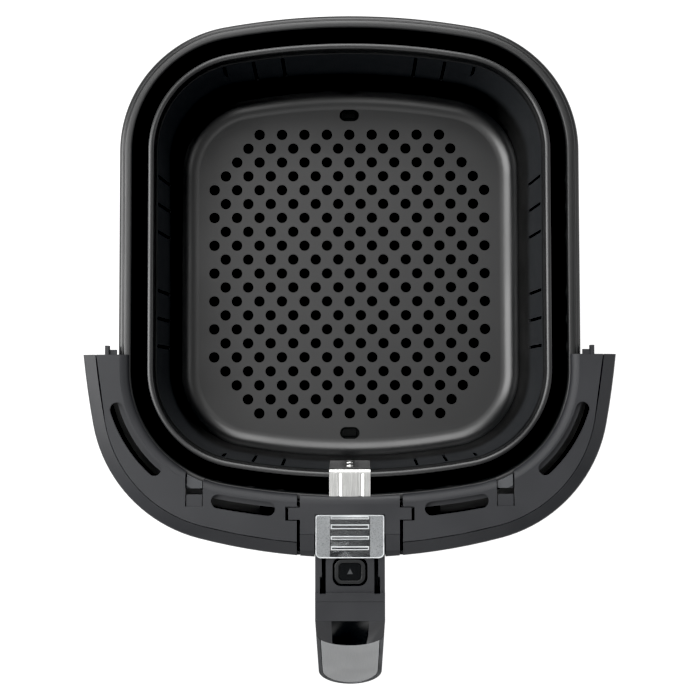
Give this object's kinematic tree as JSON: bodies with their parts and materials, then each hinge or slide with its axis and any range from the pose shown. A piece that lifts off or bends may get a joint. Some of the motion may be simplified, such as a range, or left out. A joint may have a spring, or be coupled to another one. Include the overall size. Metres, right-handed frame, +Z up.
{
  "type": "air fryer drawer",
  "caption": "Air fryer drawer: deep pan with a curved front housing, and a perforated lift-out basket with a sloping handle, release button and sliding guard.",
  "frame": {"origin": "middle of the footprint, on the surface that the pan stands on", "axes": "+X to the right seen from behind the handle, +Y away from the handle towards the rear of the pan, +Z up"},
  "size_m": [0.3196, 0.4266, 0.1175],
  "materials": {
    "pan_coating": "dark grey baked non-stick coating on pressed steel, satin",
    "basket_coating": "dark grey non-stick coating with a fine grain, satin",
    "frame_plastic": "black moulded plastic with a fine grain",
    "fascia_plastic": "black moulded plastic, smooth satin",
    "liner_plastic": "black moulded plastic, as moulded",
    "handle_plastic": "black moulded plastic with a fine grain",
    "gloss_black": "polished black plastic",
    "bright_trim": "satin metal trim",
    "plate_metal": "dark satin metal",
    "strap_steel": "pressed stainless steel, satin",
    "support_steel": "zinc plated steel sheet",
    "screw_steel": "zinc plated steel",
    "spring_steel": "bare spring steel wire",
    "clear_plastic": "clear polished polycarbonate",
    "button_plastic": "grey moulded plastic"
  },
  "bodies": {
    "pan": {"outer_pan": "pan_coating", "rear_support": "support_steel", "front_support": "support_steel", "pan_clips": "frame_plastic", "pan_brackets": "support_steel", "front_frame": "frame_plastic", "front_fascia": "fascia_plastic", "housing_liner": "liner_plastic", "latch_strike": "support_steel", "frame_screws": "screw_steel", "fascia_screws": "screw_steel", "bracket_screws": "screw_steel", "strike_screws": "screw_steel"},
    "basket": {"basket": "basket_coating", "basket_strap": "strap_steel", "strap_rivets": "screw_steel", "strap_screws": "screw_steel", "handle_top": "handle_plastic", "handle_base": "handle_plastic", "block_front": "fascia_plastic", "grip_cap": "gloss_black", "grip_bezel": "bright_trim", "grip_plate": "plate_metal", "handle_screws": "screw_steel", "lever_pin": "screw_steel", "button_spring": "spring_steel"},
    "button": {"button_cap": "button_plastic", "button_face": "gloss_black"},
    "guard": {"slide_guard": "clear_plastic"},
    "latch": {"latch_lever": "support_steel"}
  },
  "joints": [
    {"name": "basket_lift", "type": "slide", "parent": "pan", "child": "basket", "axis": [0, 0, 1], "range_m": [0, 0.16]},
    {"name": "button_press", "type": "slide", "parent": "basket", "child": "button", "axis": [0, 0, -1], "range_m": [0, 0.0035], "stiffness_N_per_m": 500, "springref_m": -0.006, "deforming": ["button_spring"]},
    {"name": "guard_slide", "type": "slide", "parent": "basket", "child": "guard", "axis": [0, -1, 0], "range_m": [0, 0.018]},
    {"name": "latch_pivot", "type": "hinge", "parent": "basket", "child": "latch", "pos_m": [0, -0.10027, 0.1032], "axis": [1, 0, 0], "range_deg": [0, 10.1]}
  ],
  "couplings": [
    {"joint": "latch_pivot", "follows": "button_press", "rad_per_m": 50}
  ]
}
